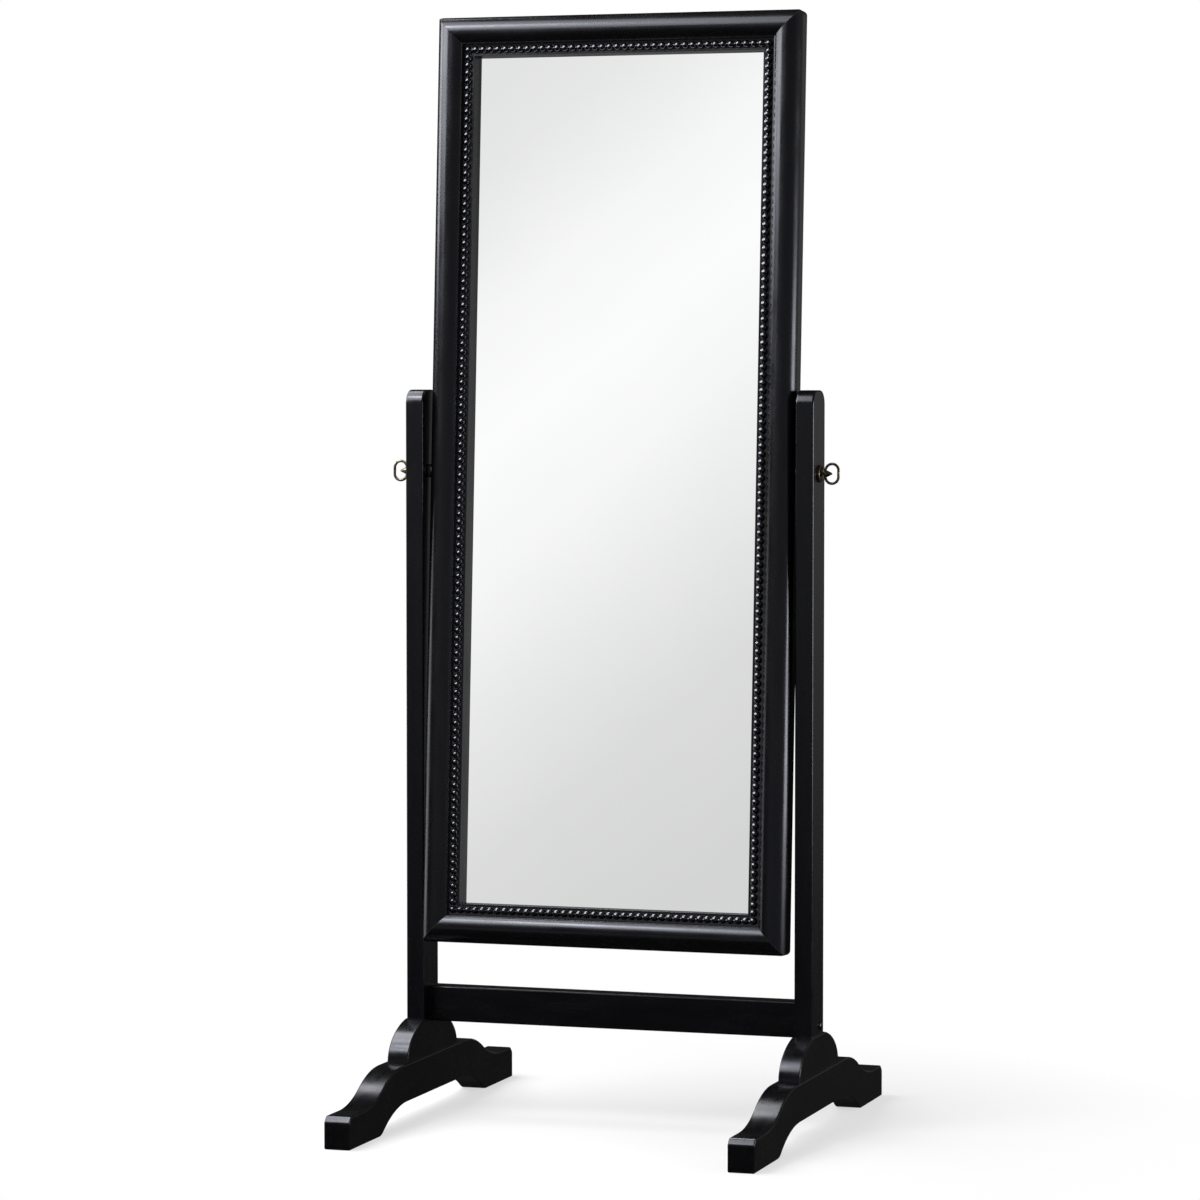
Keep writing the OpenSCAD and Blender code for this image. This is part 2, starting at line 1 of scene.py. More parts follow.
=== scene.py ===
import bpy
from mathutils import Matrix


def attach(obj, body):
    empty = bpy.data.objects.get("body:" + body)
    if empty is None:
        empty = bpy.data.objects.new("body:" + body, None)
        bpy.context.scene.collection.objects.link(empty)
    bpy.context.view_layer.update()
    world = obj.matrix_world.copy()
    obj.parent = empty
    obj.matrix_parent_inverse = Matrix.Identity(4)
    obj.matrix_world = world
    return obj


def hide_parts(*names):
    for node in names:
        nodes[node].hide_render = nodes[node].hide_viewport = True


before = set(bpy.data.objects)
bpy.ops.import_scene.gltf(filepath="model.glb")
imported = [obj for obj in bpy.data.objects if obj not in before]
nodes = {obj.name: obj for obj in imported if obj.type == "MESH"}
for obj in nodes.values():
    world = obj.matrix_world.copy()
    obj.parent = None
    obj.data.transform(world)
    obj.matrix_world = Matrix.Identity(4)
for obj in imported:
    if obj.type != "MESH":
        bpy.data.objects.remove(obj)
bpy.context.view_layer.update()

from math import asin, atan, atan2, cos, degrees, pi, radians, sin, sqrt

import bmesh
import bpy
from mathutils import Matrix, Vector

scene = bpy.context.scene

# Feet: two hardwood boards sawn to a reverse curve, with an arch below and a chamfer on each toe.
# The arrises are eased by hand, and the whole is sprayed in satin black lacquer. Four screws come
# up through the arch from recesses below.
stand_w = 0.540
post_t = 0.0235
post_x = stand_w / 2 - post_t / 2
foot_l, foot_w, foot_h = 0.612, 0.034, 0.077
foot_top_half = 0.118
toe_h, toe_l, toe_chamfer = 0.041, 0.048, 0.007
pad_l, arch_h, arch_half, arch_share = 0.105, 0.029, 0.100, 0.87
foot_arris = 0.0020
screw_y, screw_recess, recess_r = 0.055, 0.006, 0.0063
drill_lead = 0.002
curve_steps = 22


def node(tree, kind, **inputs):
    """Adds a shader node and sets its inputs by name."""
    made = tree.nodes.new(kind)
    for name, value in inputs.items():
        made.inputs[name.replace("_", " ")].default_value = value
    return made


def maths(tree, operation, *terms):
    """One step of arithmetic on outputs and plain numbers."""
    step = tree.nodes.new("ShaderNodeMath")
    step.operation = operation
    for entry, term in zip(step.inputs, terms):
        if isinstance(term, float):
            entry.default_value = term
        else:
            tree.links.new(term, entry)
    return step.outputs["Value"]


def fine_noise(tree, at, scale, detail=3.0, rough=0.5):
    """Noise on Object coordinates, scale features to the metre along X, Y and Z."""
    mapping = node(tree, "ShaderNodeMapping", Scale=scale)
    noise = node(tree, "ShaderNodeTexNoise", Scale=1.0, Detail=detail, Roughness=rough)
    tree.links.new(at.outputs["Object"], mapping.inputs["Vector"])
    tree.links.new(mapping.outputs["Vector"], noise.inputs["Vector"])
    return noise.outputs["Fac"]


def spread(tree, source, low, high, to_low, to_high):
    """Maps source from low..high onto to_low..to_high, and clamps it."""
    ranged = node(tree, "ShaderNodeMapRange")
    for name, value in (("From Min", low), ("From Max", high), ("To Min", to_low), ("To Max", to_high)):
        ranged.inputs[name].default_value = value
    tree.links.new(source, ranged.inputs["Value"])
    return ranged.outputs["Result"]


def vary(tree, noise, to_low, to_high):
    """Spreads noise over a range. Most of the noise lies between 0.3 and 0.7."""
    return spread(tree, noise, 0.3, 0.7, to_low, to_high)


def blend_colour(tree, factor, first, second):
    """Mixes two colours by a factor. Each is a plain colour or another node's output."""
    mix = node(tree, "ShaderNodeMix")
    mix.data_type = "RGBA"
    for entry, colour in ((mix.inputs["A"], first), (mix.inputs["B"], second)):
        if isinstance(colour, tuple):
            entry.default_value = (*colour, 1.0)
        else:
            tree.links.new(colour, entry)
    tree.links.new(factor, mix.inputs["Factor"])
    return mix.outputs["Result"]


def relief(tree, heights, depths):
    """Chains one bump for each height map, so that coarse and fine relief add up."""
    normal = None
    for height, depth in zip(heights, depths):
        bump = node(tree, "ShaderNodeBump", Strength=1.0, Distance=depth)
        tree.links.new(height, bump.inputs["Height"])
        if normal:
            tree.links.new(normal, bump.inputs["Normal"])
        normal = bump.outputs["Normal"]
    return normal


def worn_and_highlit_edge(tree, radius, low, high):
    """1 on an arris and 0 on a flat, from how far a bevelled normal leaves the true one. It marks real wear
    on metal and a painted highlight on the lacquer.
    """
    bevel = tree.nodes.new("ShaderNodeBevel")
    bevel.samples = 4
    bevel.inputs["Radius"].default_value = radius
    geometry = tree.nodes.new("ShaderNodeNewGeometry")
    dot = tree.nodes.new("ShaderNodeVectorMath")
    dot.operation = "DOT_PRODUCT"
    tree.links.new(bevel.outputs["Normal"], dot.inputs[0])
    tree.links.new(geometry.outputs["Normal"], dot.inputs[1])
    return spread(tree, dot.outputs["Value"], low, high, 1.0, 0.0)


def start_material(name):
    """A new material, with its node tree and its main shader."""
    material = bpy.data.materials.new(name)
    material.use_nodes = True
    tree = material.node_tree
    return material, tree, tree.nodes["Principled BSDF"]


def lacquer(name, grain, rough=(0.19, 0.30), ior=1.55):
    """Satin black lacquer. The wood's grain telegraphs through it along the piece, and the surface has
    broad soft clouds from rubbing.
    Its arrises carry a painted highlight: a lighter brown-grey, in uneven patches."""
    deep_black, grain_black = (0.0008, 0.0008, 0.0010), (0.0017, 0.0017, 0.0021)
    # The brown-grey below is a painted highlight for the arrises.
    painted_arris_highlight, cool_sheen = (0.022, 0.019, 0.018), (0.86, 0.88, 1.0)
    peel_scale, cloud_scale, cloud_along = 620.0, 14.0, 0.09
    cloud_depth, figure_depth, peel_depth = 0.00009, 0.000004, 0.0000015
    material, tree, shader = start_material(name)
    shader.inputs["IOR"].default_value = ior
    shader.inputs["Specular Tint"].default_value = (*cool_sheen, 1.0)
    at = node(tree, "ShaderNodeTexCoord")
    figure = fine_noise(tree, at, grain, detail=4.0, rough=0.6)
    peel = fine_noise(tree, at, (peel_scale, peel_scale, peel_scale), detail=2.0)
    cloud = fine_noise(tree, at, [cloud_scale + cloud_along * g for g in grain], detail=3.0, rough=0.55)
    # Painted highlight: the base colour goes lighter towards brown-grey on the arrises, in patches.
    arris = worn_and_highlit_edge(tree, radius=0.0014, low=0.90, high=0.995)
    rubbed_and_highlit = maths(tree, "MULTIPLY", arris, spread(tree, cloud, 0.35, 0.62, 0.0, 1.0))
    ground = blend_colour(tree, vary(tree, figure, 0.0, 1.0), deep_black, grain_black)
    tree.links.new(blend_colour(tree, rubbed_and_highlit, ground, painted_arris_highlight), shader.inputs["Base Color"])
    tree.links.new(vary(tree, cloud, *rough), shader.inputs["Roughness"])
    normal = relief(tree, (cloud, figure, peel), (cloud_depth, figure_depth, peel_depth))
    tree.links.new(normal, shader.inputs["Normal"])
    return material


def s_curve(p, q, share):
    """Points of two arcs that leave p level and reach q level, joined share of the way."""
    run, rise = q[0] - p[0], q[1] - p[1]
    turn = 2 * atan(abs(rise / run))
    way, up = (1 if run > 0 else -1), (1 if rise > 0 else -1)
    r1 = share * abs(run) / sin(turn)
    r2 = (1 - share) * abs(run) / sin(turn)
    angles = [turn * i / curve_steps for i in range(curve_steps + 1)]
    first = [(p[0] + way * r1 * sin(a), p[1] + up * r1 * (1 - cos(a))) for a in angles]
    last = [(q[0] - way * r2 * sin(a), q[1] - up * r2 * (1 - cos(a))) for a in angles[-2::-1]]
    return first + last


def both_ways(half):
    """An outline and its mirror image across the first axis, joined into one."""
    return half + [(-a, b) for a, b in reversed(half)]


def skin(bm, ring, after):
    """Joins two rings of points by a band of faces."""
    for i, point in enumerate(ring):
        j = (i + 1) % len(ring)
        bm.faces.new((point, ring[j], after[j], after[i]))


def slab(near_outline, far_outline):
    """A solid between two outlines that match point for point."""
    bm = bmesh.new()
    near, far = ([bm.verts.new(point) for point in outline] for outline in (near_outline, far_outline))
    skin(bm, near, far)
    bm.faces.new(near[::-1])
    bm.faces.new(far)
    bmesh.ops.recalc_face_normals(bm, faces=bm.faces)
    return bm


def sawn(outline, x0, x1, arris=None, square=lambda edge: False, steps=4):
    """A board sawn to an outline in Y and Z, from x0 to x1. Where a radius is given, its arrises
    are rounded, apart from the edges that square picks."""
    bm = slab([(x0, y, z) for y, z in outline], [(x1, y, z) for y, z in outline])
    if arris:
        corners = [e for e in bm.edges if e.calc_face_angle() > radians(25) and not square(e)]
        bmesh.ops.bevel(bm, geom=corners, offset=arris, segments=steps, profile=0.5, affect="EDGES")
    return bm


def finished(shape):
    """The mesh of an object as its modifiers leave it."""
    view = bpy.context.evaluated_depsgraph_get()
    result = bmesh.new()
    result.from_mesh(bpy.data.meshes.new_from_object(shape.evaluated_get(view)))
    return result


def cut(bm, tools, operation="DIFFERENCE"):
    """Cuts a mesh with other meshes, or keeps what lies inside them, and returns the result."""
    def as_object(source):
        mesh = bpy.data.meshes.new("shaping")
        source.to_mesh(mesh)
        source.free()
        made = bpy.data.objects.new("shaping", mesh)
        scene.collection.objects.link(made)
        return made

    work = as_object(bm)
    cutters = [as_object(tool) for tool in tools]
    for cutter in cutters:
        step = work.modifiers.new("cut", "BOOLEAN")
        step.operation = operation
        step.solver = "EXACT"
        step.object = cutter
    result = finished(work)
    for used in [work] + cutters:
        bpy.data.objects.remove(used)
    return result


def rod(radius, start, end, sides=32):
    """A round bar between two points, used as a drill or a pin."""
    bm = bmesh.new()
    start, end = Vector(start), Vector(end)
    way = end - start
    turn = way.to_track_quat("Z", "Y").to_matrix().to_4x4()
    bmesh.ops.create_cone(
        bm, cap_ends=True, segments=sides, radius1=radius, radius2=radius, depth=way.length,
        matrix=Matrix.Translation((start + end) / 2) @ turn
    )
    return bm


def add_piece(name, bm, material, body, slot, *replaced):
    """Makes the piece, shades it evenly, and hangs it on its body in place of the CAD's."""
    mesh = bpy.data.meshes.new(name)
    bm.to_mesh(mesh)
    bm.free()
    mesh.materials.clear()
    mesh.materials.append(material)
    mesh.shade_smooth()
    mesh.set_sharp_from_angle(angle=radians(32))
    piece = bpy.data.objects.new(name, mesh)
    scene.collection.objects.link(piece)
    even = piece.modifiers.new("even shading", "WEIGHTED_NORMAL")
    even.keep_sharp = True
    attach(piece, body)
    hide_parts(*replaced)
    return piece


foot_lacquer = lacquer("Black lacquer, grain front to back", grain=(420.0, 22.0, 60.0))
foot_half = (
    s_curve((arch_half, arch_h), (foot_l / 2 - pad_l, 0.0), arch_share)
    + [(foot_l / 2, 0.0), (foot_l / 2, toe_h - toe_chamfer), (foot_l / 2 - toe_chamfer, toe_h)]
    + s_curve((foot_l / 2 - toe_l, toe_h), (foot_top_half, foot_h), 0.5)
)
for side, s in (("left", -1), ("right", 1)):
    board = sawn(both_ways(foot_half), s * post_x - foot_w / 2, s * post_x + foot_w / 2, foot_arris)
    recesses = [
        rod(recess_r, (s * post_x, y, arch_h - drill_lead), (s * post_x, y, arch_h + screw_recess))
        for y in (-screw_y, screw_y)
    ]
    add_piece(
        f"foot_{side}_sawn", cut(board, recesses), foot_lacquer, "stand", "black_lacquer", f"foot_{side}"
    )

# Foot blocks: a half-elliptical block glued and screwed on each foot, with its grain upright.
# The post's tenon goes into it, held by a lacquered pin whose ends lie just below both faces.
# A shallow housing in its inner face lets the stretcher through to the post.
block_l, block_t, dome_h, post_d = 0.186, 0.028, 0.049, 0.055
block_top = foot_h + dome_h * sqrt(1 - (post_d / block_l) ** 2)
pin_y, pin_r, pin_drop = 0.017, 0.0025, 0.019
pin_z = block_top - pin_drop
block_arris = 0.0018
stretcher_y, stretcher_t, stretcher_drop = 0.010, 0.027, 0.005
housing_w, fit_gap = 0.010, 0.00005


def at_foot(level):
    """Picks the edges of a piece's lower end, which stay square where it meets the next piece."""
    return lambda edge: all(v.co.z < level + 1e-5 for v in edge.verts)


def cross_bore(radius, s, y, z):
    """A drill through one side of the stand, across post and block."""
    return rod(radius, (s * (post_x - post_t), y, z), (s * (post_x + post_t), y, z))


def box(place, x, y, z):
    """A block with the given lengths, centred on a place."""
    bm = bmesh.new()
    bmesh.ops.create_cube(bm, size=1.0, matrix=place @ Matrix.Diagonal((x, y, z, 1)))
    return bm


block_lacquer = lacquer("Black lacquer, grain upright on the blocks", grain=(480.0, 60.0, 26.0))
dome_cut = asin((block_top - foot_h) / dome_h)
dome = [
    (block_l / 2 * cos(t), foot_h + dome_h * sin(t))
    for t in (dome_cut * i / curve_steps for i in range(curve_steps + 1))
]
for side, s in (("left", -1), ("right", 1)):
    block = sawn(
        both_ways(dome), s * post_x - block_t / 2, s * post_x + block_t / 2, block_arris,
        square=at_foot(foot_h)
    )
    housing = box(
        Matrix.Translation((s * (post_x - post_t / 2 - housing_w / 2), stretcher_y, block_top)),
        housing_w + 2 * fit_gap, stretcher_t + 2 * fit_gap, 2 * (stretcher_drop + fit_gap)
    )
    block = cut(block, [cross_bore(pin_r + fit_gap, s, pin_y, pin_z), housing])
    add_piece(
        f"foot_block_{side}_domed", block, block_lacquer, "stand", "black_lacquer", f"foot_block_{side}"
    )

# Pins: short hardwood dowels through block and tenon, lacquered with the rest. Each is a little
# shorter than the block is thick, with its rims rounded.
pin_inset, pin_rim = 0.0005, 0.0003
pin_half = block_t / 2 - pin_inset


def joined(*parts):
    """Several meshes as one."""
    whole = bmesh.new()
    for part in parts:
        loose = bpy.data.meshes.new("part")
        part.to_mesh(loose)
        part.free()
        whole.from_mesh(loose)
    return whole


pins = []
for s in (-1, 1):
    pin = rod(pin_r, (s * post_x - pin_half, pin_y, pin_z), (s * post_x + pin_half, pin_y, pin_z))
    rims = [e for e in pin.edges if e.calc_face_angle() > radians(60)]
    bmesh.ops.bevel(pin, geom=rims, offset=pin_rim, segments=2, profile=0.5, affect="EDGES")
    pins.append(pin)
add_piece("tenon_pins_turned", joined(*pins), block_lacquer, "stand", "black_lacquer", "tenon_pins")

# Posts: hardwood uprights with rounded top corners and a routed round on every long arris.
# A tenon below goes into the block; the stretcher bolt and the thumb screw pass through.
post_top, post_top_r = 0.932, 0.018
post_arris, tenon_arris = 0.0024, 0.0008
tenon_t, tenon_d, tenon_l, tenon_root = 0.012, 0.047, 0.034, 0.0005
pivot_z = 0.828
bore_r = 0.0033


def arc(c, r, a, b, steps=curve_steps):
    """Points of an arc about c from angle a to angle b, in degrees."""
    turns = [radians(a + (b - a) * i / steps) for i in range(steps + 1)]
    return [(c[0] + r * cos(t), c[1] + r * sin(t)) for t in turns]


upright_lacquer = lacquer("Black lacquer, grain upright", grain=(420.0, 420.0, 9.0))
top_corner = (post_d / 2 - post_top_r, post_top - post_top_r)
post_half = arc(top_corner, post_top_r, 90, 0) + [(post_d / 2, block_top)]
tenon_half = [(tenon_d / 2, block_top + tenon_root), (tenon_d / 2, block_top - tenon_l)]
for side, s in (("left", -1), ("right", 1)):
    shaft = sawn(
        both_ways(post_half), s * post_x - post_t / 2, s * post_x + post_t / 2, post_arris,
        square=at_foot(block_top), steps=5
    )
    shaft = cut(shaft, [cross_bore(bore_r, s, 0, pivot_z)])
    tenon = sawn(both_ways(tenon_half), s * post_x - tenon_t / 2, s * post_x + tenon_t / 2, tenon_arris)
    add_piece(
        f"post_{side}_shaped", joined(shaft, tenon), upright_lacquer, "stand", "black_lacquer",
        f"post_{side}"
    )

# Stretcher: a hardwood rail between the posts, a little behind their middle, with rounded arrises.
# Bolts through the posts pull it tight on barrel nuts, which sit in holes bored from behind.
inner_x = stand_w / 2 - post_t
stretcher_h = 0.0455
rail_bottom = block_top - stretcher_drop
rail_top = rail_bottom + stretcher_h
bolt_rise, nut_in, nut_r, nut_l = 0.0145, 0.030, 0.005, 0.016
bolt_z = rail_bottom + bolt_rise
drill_out_y = 0.06


def across(edge):
    """Picks the edges of an end, which stays square where it butts against a post."""
    return abs(edge.verts[0].co.x - edge.verts[1].co.x) < 1e-6


rail_lacquer = lacquer("Black lacquer, grain across", grain=(9.0, 420.0, 420.0))
section = [(stretcher_t / 2, rail_bottom), (stretcher_t / 2, rail_top)]
rail = sawn(both_ways(section), -inner_x, inner_x, post_arris, square=across, steps=5)
bmesh.ops.translate(rail, verts=rail.verts, vec=(0, stretcher_y, 0))
nut_holes = [
    rod(nut_r + fit_gap, (x, stretcher_y - nut_l / 2, bolt_z), (x, drill_out_y, bolt_z))
    for x in (nut_in - inner_x, inner_x - nut_in)
]
add_piece("stretcher_shaped", cut(rail, nut_holes), rail_lacquer, "stand", "black_lacquer", "stretcher")

# Stretcher bolts: M6 bolts of blackened steel with low domed heads on the posts' outer faces,
# each with a hexagon socket. Barrel nuts: zinc-plated steel bars across the bolts' ends, with a
# screwdriver slot behind.
head_r, head_h, head_rim = 0.005, 0.003, 0.0006
shank_r, shank_ease = 0.003, 0.0006
socket_w, socket_d, key_l = 0.004, 0.0018, 0.004
slot_l, slot_w, slot_d, nut_ease = 0.020, 0.0014, 0.0015, 0.0005


def turned(profile, closed=False, sides=48):
    """A shape turned about Z. The profile holds a radius and a height for each ring."""
    bm = bmesh.new()
    rings = []
    for r, z in profile:
        angles = [2 * pi * k / sides for k in range(sides if r > 1e-7 else 1)]
        rings.append([bm.verts.new((r * cos(a), r * sin(a), z)) for a in angles])
    pairs = list(zip(rings, rings[1:])) + ([(rings[-1], rings[0])] if closed else [])
    for low_ring, high_ring in pairs:
        for k in range(sides):
            j = (k + 1) % sides
            corners = [low_ring[k % len(low_ring)], low_ring[j % len(low_ring)],
                       high_ring[j % len(high_ring)], high_ring[k % len(high_ring)]]
            bm.faces.new(list(dict.fromkeys(corners)))
    bmesh.ops.recalc_face_normals(bm, faces=bm.faces)
    return bm


def set_at(bm, place, angle=0.0, axis="Z"):
    """Turns a mesh about one axis and moves it to its place."""
    bm.transform(Matrix.Translation(place) @ Matrix.Rotation(angle, 4, axis))
    return bm


def metal(name, dark, bright, rough, relief_depth, patch=260.0):
    """Metal with a darkened ground and brighter arrises worn by rubbing, in uneven patches."""
    grit_scale, grit_share = 2600.0, 1 / 8
    material, tree, shader = start_material(name)
    shader.inputs["Metallic"].default_value = 1.0
    at = node(tree, "ShaderNodeTexCoord")
    patches = fine_noise(tree, at, (patch, patch, patch), detail=4.0, rough=0.6)
    grit = fine_noise(tree, at, (grit_scale, grit_scale, grit_scale), detail=2.0)
    rubbed_and_highlit = worn_and_highlit_edge(tree, radius=0.0007, low=0.86, high=0.99)
    brightness = maths(tree, "MAXIMUM", rubbed_and_highlit, spread(tree, patches, 0.38, 0.66, 0.0, 0.75))
    tree.links.new(blend_colour(tree, brightness, dark, bright), shader.inputs["Base Color"])
    tree.links.new(vary(tree, patches, rough[1], rough[0]), shader.inputs["Roughness"])
    normal = relief(tree, (patches, grit), (relief_depth, relief_depth * grit_share))
    tree.links.new(normal, shader.inputs["Normal"])
    return material


def bolt():
    """One bolt along Z, the underside of its head at 0 and a socket cut into the dome."""
    shank_end = inner_x - nut_in - nut_r - stand_w / 2
    slopes = [radians(t) for t in range(0, 91, 9)]
    whole = turned(
        [(0, shank_end), (shank_r - shank_ease, shank_end), (shank_r, shank_end + shank_ease)]
        + [(shank_r, 0.0), (head_r, 0.0)]
        + [(head_r * cos(t), head_rim + (head_h - head_rim) * sin(t)) for t in slopes]
    )
    key = bmesh.new()
    bmesh.ops.create_cone(
        key, cap_ends=True, segments=6, radius1=socket_w / sqrt(3), radius2=socket_w / sqrt(3),
        depth=key_l, matrix=Matrix.Translation((0, 0, head_h - socket_d + key_l / 2))
    )
    return cut(whole, [key])


def barrel_nut():
    """One barrel nut along Z, with a slot across its upper end."""
    barrel = turned([
        (0, -nut_l / 2), (nut_r - nut_ease, -nut_l / 2), (nut_r, nut_ease - nut_l / 2),
        (nut_r, nut_l / 2 - nut_ease), (nut_r - nut_ease, nut_l / 2), (0, nut_l / 2)
    ])
    return cut(barrel, [box(Matrix.Translation((0, 0, nut_l / 2)), slot_l, slot_w, 2 * slot_d)])


black_steel = metal(
    "Blackened steel", dark=(0.03, 0.03, 0.032), bright=(0.16, 0.16, 0.17),
    rough=(0.25, 0.4), relief_depth=0.00004
)
zinc = metal(
    "Zinc plating", dark=(0.36, 0.37, 0.39), bright=(0.62, 0.63, 0.65),
    rough=(0.22, 0.42), relief_depth=0.00002
)
bolts = [set_at(bolt(), (s * stand_w / 2, stretcher_y, bolt_z), s * pi / 2, "Y") for s in (-1, 1)]
nuts = [set_at(barrel_nut(), (s * (inner_x - nut_in), stretcher_y, bolt_z), -pi / 2, "X") for s in (-1, 1)]
add_piece("stretcher_bolts_domed", joined(*bolts), black_steel, "stand", "black_steel", "stretcher_bolts")
add_piece("barrel_nuts_slotted", joined(*nuts), zinc, "stand", "zinc_steel", "barrel_nuts")

# Foot screws: zinc-plated steel screws with flat heads and a cross recess, seen only from below.
# Their shanks run up through the foot into the block.
seat_z, screw_head_r, screw_head_h = arch_h + screw_recess, 0.006, 0.004
screw_rim_w, screw_rim_h = 0.001, 0.0008
screw_l, screw_body_l, screw_tip_r = 0.064, 0.061, 0.0008
cross_l, cross_w, cross_d = 0.006, 0.0013, 0.0018


def foot_screw():
    """One screw along Z, the seat of its head at 0 and a cross cut into the head."""
    whole = turned([
        (0, -screw_head_h), (screw_head_r - screw_rim_w, -screw_head_h),
        (screw_head_r, screw_rim_h - screw_head_h), (screw_head_r, 0.0), (shank_r, 0.0),
        (shank_r, screw_body_l), (screw_tip_r, screw_l), (0, screw_l)
    ])
    face = Matrix.Translation((0, 0, -screw_head_h))
    arms = [
        box(face @ Matrix.Rotation(turn, 4, "Z"), cross_l, cross_w, 2 * cross_d) for turn in (0, pi / 2)
    ]
    return cut(whole, arms)


screws = [set_at(foot_screw(), (x, y, seat_z)) for x in (-post_x, post_x) for y in (-screw_y, screw_y)]
add_piece("foot_screws_crossed", joined(*screws), zinc, "stand", "zinc_steel", "foot_screws")

# Hidden dowels: bare beech, glued in above the stretcher bolts and across the frame's mitres.
# They stay as the CAD has them and only get their wood.


def wood(name, pale, deep, grain, rough):
    """Bare wood, card or board: streaks along the grain, with pores."""
    pore_finer, streak_depth, pore_depth = 3.5, 0.0001, 0.00004
    material, tree, shader = start_material(name)
    at = node(tree, "ShaderNodeTexCoord")
    streak = fine_noise(tree, at, grain, detail=5.0, rough=0.65)
    pore = fine_noise(tree, at, [g * pore_finer for g in grain], detail=2.0)
    colour = blend_colour(tree, vary(tree, streak, 0.0, 1.0), deep, pale)
    tree.links.new(colour, shader.inputs["Base Color"])
    tree.links.new(vary(tree, pore, *rough), shader.inputs["Roughness"])
    tree.links.new(relief(tree, (streak, pore), (streak_depth, pore_depth)), shader.inputs["Normal"])
    return material


def refinish(name, material):
    """Gives a CAD node that stays its own material."""
    mesh = nodes[name].data
    mesh.materials.clear()
    mesh.materials.append(material)


beech = wood(
    "Bare beech", pale=(0.55, 0.36, 0.2), deep=(0.38, 0.22, 0.11),
    grain=(30.0, 700.0, 700.0), rough=(0.52, 0.72)
)
refinish("stretcher_dowels", beech)
refinish("corner_dowels", beech)

# Mirror frame: four mitred lengths of one hardwood moulding, glued on a hidden dowel at each corner.
# Its half round rises from a flat outer side to a crown and falls to a sharp ridge. Inside lie the
# bead channel, a sloping wall and the sight edge, with a rebate behind for glass and board.
lean = 3.4
side_gap = 0.005
frame_w, frame_h = stand_w - 2 * post_t - 2 * side_gap, 1.182
side_h, torus_w, crown_h, ridge_h, ridge_w = 0.0185, 0.0335, 0.0345, 0.028, 0.0015
channel_w, channel_h, land_w, wall_w, lip_h = 0.0122, 0.0188, 0.0027, 0.0006, 0.001
rebate_w, rebate_d, strip_t = 0.0105, 0.008, 0.0032
ridge_ease, channel_ease, land_ease, wall_ease, back_ease = 0.0004, 0.0010, 0.0002, 0.0003, 0.0012
corner_r = 0.007
mitre_gap, saw_over = 0.00005, 0.0005
pivot_rise = 0.0115
hung = Matrix.Translation((0, 0, pivot_z)) @ Matrix.Rotation(radians(-lean), 4, "X")


def member_place(turn, half):
    """Places a member drawn with X along it, Y inwards from its outer edge and Z forwards."""
    return (
        hung @ Matrix.Translation((0, side_h / 2, -pivot_rise)) @ Matrix.Rotation(radians(turn), 4, "Y")
        @ Matrix.Translation((0, 0, -half)) @ Matrix.Rotation(pi / 2, 4, "X")
    )


def eased(corner, before, after, radius, steps=4):
    """Rounds one corner of an outline."""
    corner, before, after = Vector(corner), Vector(before), Vector(after)
    a, b = corner + (before - corner).normalized() * radius, corner + (after - corner).normalized() * radius
    shares = [i / steps for i in range(steps + 1)]
    return [tuple((1 - t) ** 2 * a + 2 * t * (1 - t) * corner + t * t * b) for t in shares]


def prism(outline, low, high):
    """An outline in X and Y, raised from low to high."""
    return slab([(x, y, low) for x, y in outline], [(x, y, high) for x, y in outline])


# The half round is the arc from the outer side to the ridge that just reaches the crown's height.
drop, ridge_drop = crown_h - side_h, crown_h - ridge_h
under_root = drop * ridge_drop * (torus_w ** 2 + (drop - ridge_drop) ** 2)
torus_c = (drop * torus_w - sqrt(under_root)) / (drop - ridge_drop)
torus_r = (torus_c ** 2 + drop ** 2) / (2 * drop)
torus_v = crown_h - torus_r
torus_start = 180 - degrees(atan((side_h - torus_v) / torus_c))
torus_stop = degrees(atan2(ridge_h - torus_v, torus_w - torus_c))
half_round = arc((torus_c, torus_v), torus_r, torus_start, torus_stop, 36)
channel_u = torus_w + ridge_w
channel_end = channel_u + channel_w
land_end = channel_end + land_w
sight_u = land_end + wall_w
rebate_u = sight_u - rebate_w
strip_top = channel_h + strip_t
moulding = (
    half_round[:-1]
    + eased((torus_w, ridge_h), half_round[-2], (channel_u, ridge_h), ridge_ease)
    + eased((channel_u, ridge_h), (torus_w, ridge_h), (channel_u, channel_h), channel_ease)
    + [(channel_u, channel_h), (channel_end, channel_h)]
    + eased((channel_end, strip_top), (channel_end, channel_h), (land_end, strip_top), land_ease)
    + eased((land_end, strip_top), (channel_end, strip_top), (sight_u, rebate_d + lip_h), wall_ease)
    + [(sight_u, rebate_d + lip_h), (sight_u, rebate_d), (rebate_u, rebate_d), (rebate_u, 0.0)]
    + eased((0.0, 0.0), (rebate_u, 0.0), (0.0, side_h), back_ease)
)
members = (
    ("top_rail", 180, frame_h / 2, frame_w), ("bottom_rail", 0, frame_h / 2, frame_w),
    ("left_stile", 90, frame_w / 2, frame_h), ("right_stile", -90, frame_w / 2, frame_h)
)
for name, turn, half, length in members:
    run = sawn(moulding, -length / 2 - 2 * saw_over, length / 2 + 2 * saw_over)
    end, deep = length / 2 - mitre_gap, sight_u + saw_over
    mitres = arc((end - corner_r, corner_r), corner_r, -90, -45, 12) + [(end - deep, deep)]
    member = cut(run, [prism(both_ways(mitres), -saw_over, crown_h + saw_over)], "INTERSECT")
    member.transform(member_place(turn, half))
    finish = rail_lacquer if "rail" in name else upright_lacquer
    add_piece(f"{name}_moulded", member, finish, "mirror", "black_lacquer", name)

